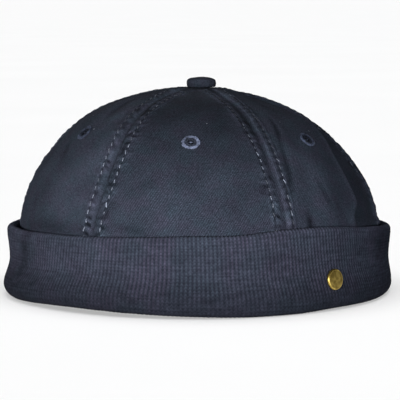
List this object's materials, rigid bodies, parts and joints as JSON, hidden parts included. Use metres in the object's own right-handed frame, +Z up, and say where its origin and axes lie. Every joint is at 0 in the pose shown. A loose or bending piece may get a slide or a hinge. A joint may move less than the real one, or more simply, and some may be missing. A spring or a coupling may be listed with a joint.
{
  "type": "docker cap",
  "caption": "Short brimless cap with a round twill crown, a covered button on top and a ribbed knitted cuff folded up round it.",
  "frame": {"origin": "on the surface that the cap rests on, below the middle of its bounding box", "axes": "+Z up through the button, -Y towards the front panel, +X towards the side that has the stud"},
  "size_m": [0.1896, 0.2094, 0.104],
  "materials": {
    "twill": "navy cotton twill",
    "knit": "navy ribbed knit",
    "thread": "grey-blue embroidery thread",
    "brass": "satin brass"
  },
  "bodies": {
    "root": {"panel_front": "twill", "panel_front_right": "twill", "panel_back_right": "twill", "panel_back": "twill", "panel_back_left": "twill", "panel_front_left": "twill", "button_top": "twill", "eyelet_front": "thread", "eyelet_front_right": "thread", "eyelet_back_right": "thread", "eyelet_back": "thread", "eyelet_back_left": "thread", "eyelet_front_left": "thread", "cuff": "knit", "stud": "brass"}
  },
  "joints": []
}
